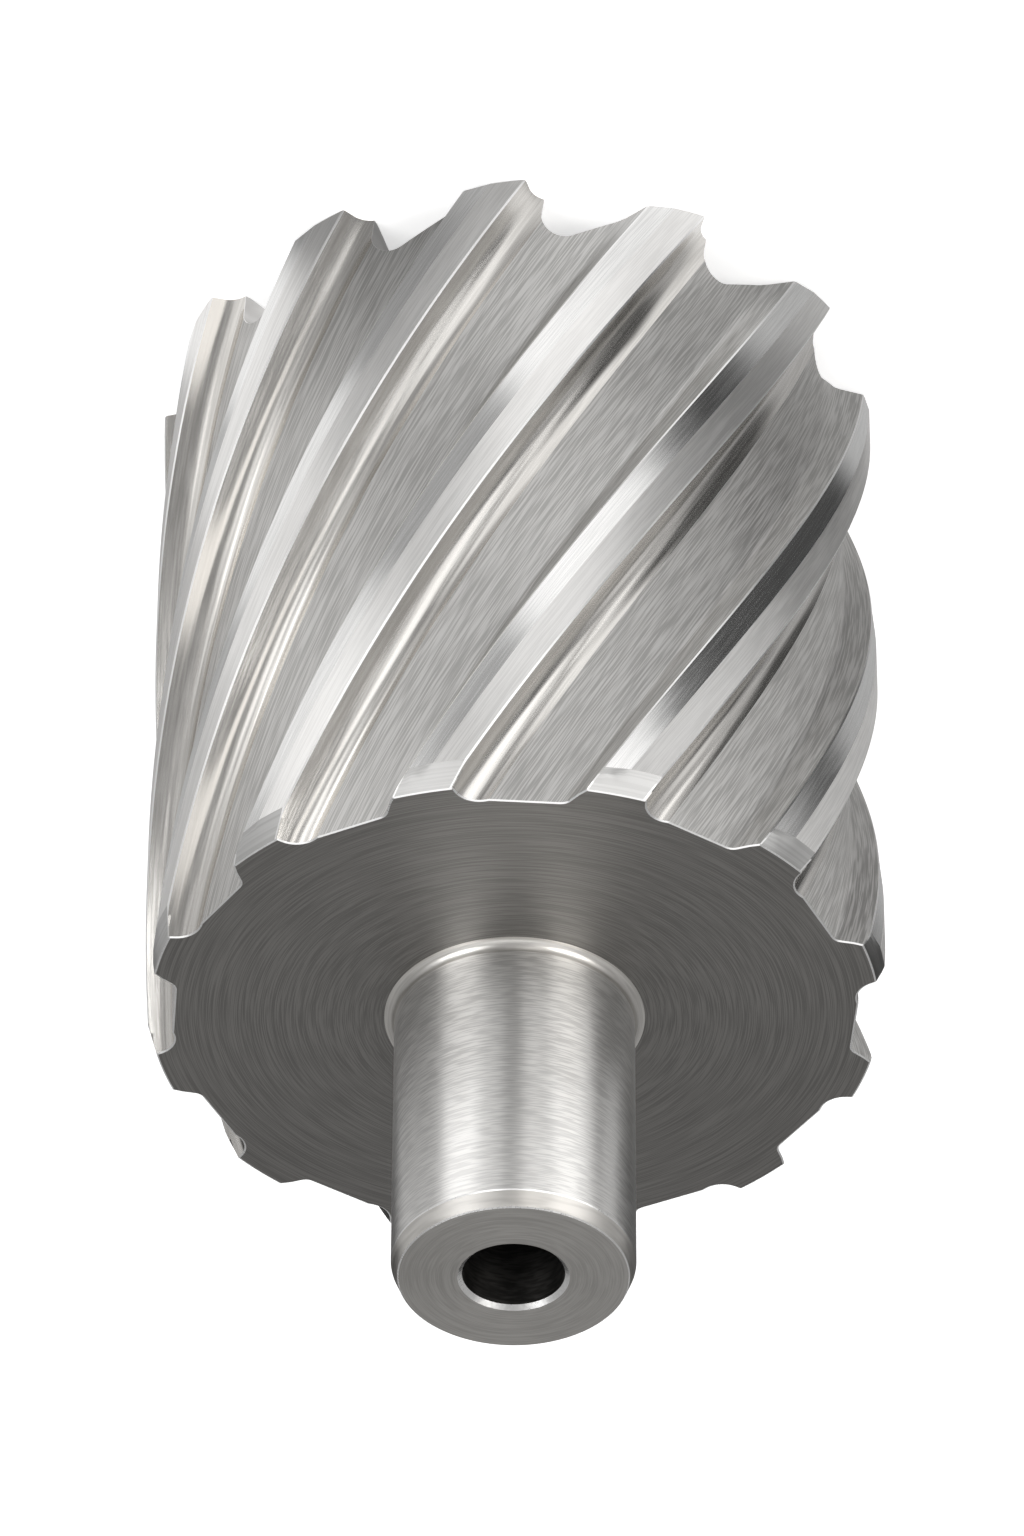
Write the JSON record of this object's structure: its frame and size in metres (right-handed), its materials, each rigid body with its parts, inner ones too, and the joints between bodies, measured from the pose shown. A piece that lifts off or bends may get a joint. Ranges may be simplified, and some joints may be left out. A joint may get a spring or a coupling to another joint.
{
  "type": "annular cutter",
  "caption": "Hollow drilling cutter with helical flutes, ground end teeth, a plain clamping shank with flats and a through bore for a pilot pin.",
  "frame": {"origin": "on the cutter's axis, in the plane of the tooth tips that it stands on", "axes": "+Z along the axis from the teeth towards the shank; the clamping flats face 60 and 150 degrees round from +X towards +Y"},
  "size_m": [0.059, 0.059, 0.089],
  "materials": {
    "steel": "ground high-speed steel, finely brushed"
  },
  "bodies": {
    "root": {"annular_cutter": "steel"}
  },
  "joints": []
}
